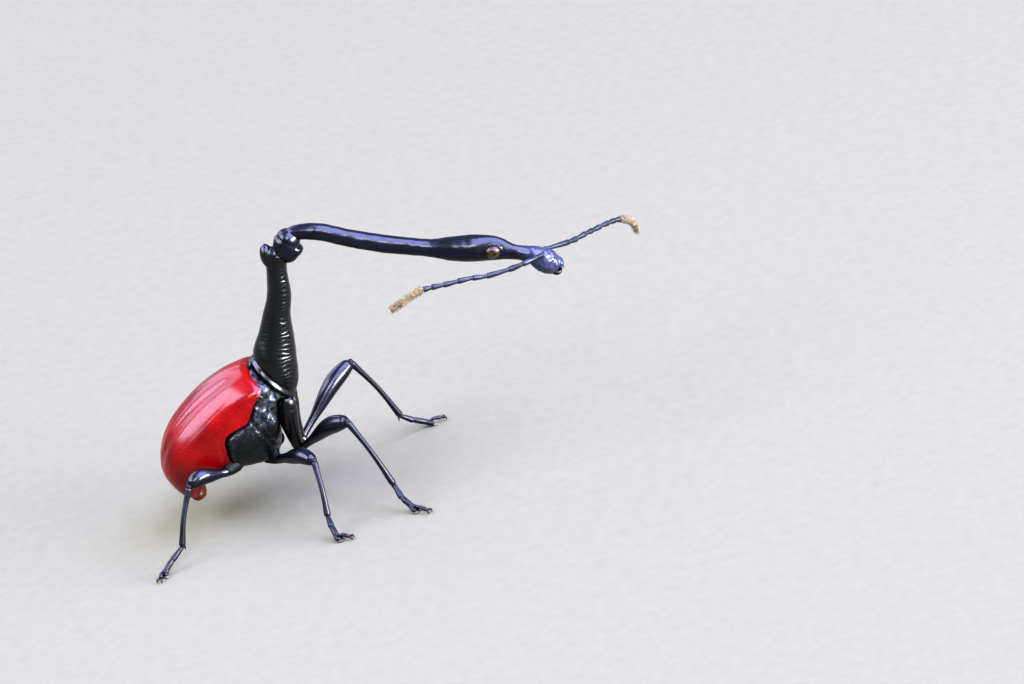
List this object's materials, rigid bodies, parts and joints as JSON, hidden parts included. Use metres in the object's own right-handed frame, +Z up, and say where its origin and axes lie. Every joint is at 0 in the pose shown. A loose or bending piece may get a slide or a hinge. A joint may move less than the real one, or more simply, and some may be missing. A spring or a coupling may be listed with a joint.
{
  "type": "giraffe weevil",
  "caption": "Life-size male giraffe weevil, a red and black beetle that stands with its long neck raised and its head held out in front",
  "frame": {"origin": "under the middle of the whole animal, on the floor that its feet stand on", "axes": "+X forward, the way the head points, +Y the animal's left, +Z up"},
  "size_m": [0.0249, 0.013, 0.0133],
  "materials": {
    "shell_red": "glossy, finely pitted red cuticle",
    "shell_black": "glossy black cuticle with fine cross wrinkles",
    "shell_blue_black": "smooth glossy blue-black cuticle",
    "feeler_tan": "dull tan cuticle with a down of fine hairs",
    "eye_brown": "glossy brown compound eye"
  },
  "bodies": {
    "root": {"abdomen": "shell_black", "antenna_left_club": "feeler_tan", "antenna_left_funicle": "shell_blue_black", "antenna_left_scape": "shell_blue_black", "antenna_right_club": "feeler_tan", "antenna_right_funicle": "shell_blue_black", "antenna_right_scape": "shell_blue_black", "elytron_left": "shell_red", "elytron_right": "shell_red", "eye_left": "eye_brown", "eye_right": "eye_brown", "head": "shell_blue_black", "leg_fore_left_coxa": "shell_black", "leg_fore_left_femur": "shell_blue_black", "leg_fore_left_tarsus": "shell_blue_black", "leg_fore_left_tibia": "shell_blue_black", "leg_fore_right_coxa": "shell_black", "leg_fore_right_femur": "shell_blue_black", "leg_fore_right_tarsus": "shell_blue_black", "leg_fore_right_tibia": "shell_blue_black", "leg_hind_left_coxa": "shell_black", "leg_hind_left_femur": "shell_blue_black", "leg_hind_left_tarsus": "shell_blue_black", "leg_hind_left_tibia": "shell_blue_black", "leg_hind_right_coxa": "shell_black", "leg_hind_right_femur": "shell_blue_black", "leg_hind_right_tarsus": "shell_blue_black", "leg_hind_right_tibia": "shell_blue_black", "leg_middle_left_coxa": "shell_black", "leg_middle_left_femur": "shell_blue_black", "leg_middle_left_tarsus": "shell_blue_black", "leg_middle_left_tibia": "shell_blue_black", "leg_middle_right_coxa": "shell_black", "leg_middle_right_femur": "shell_blue_black", "leg_middle_right_tarsus": "shell_blue_black", "leg_middle_right_tibia": "shell_blue_black", "neck_joint": "shell_blue_black", "pronotum": "shell_black", "rostrum": "shell_blue_black", "thorax": "shell_black"}
  },
  "joints": []
}
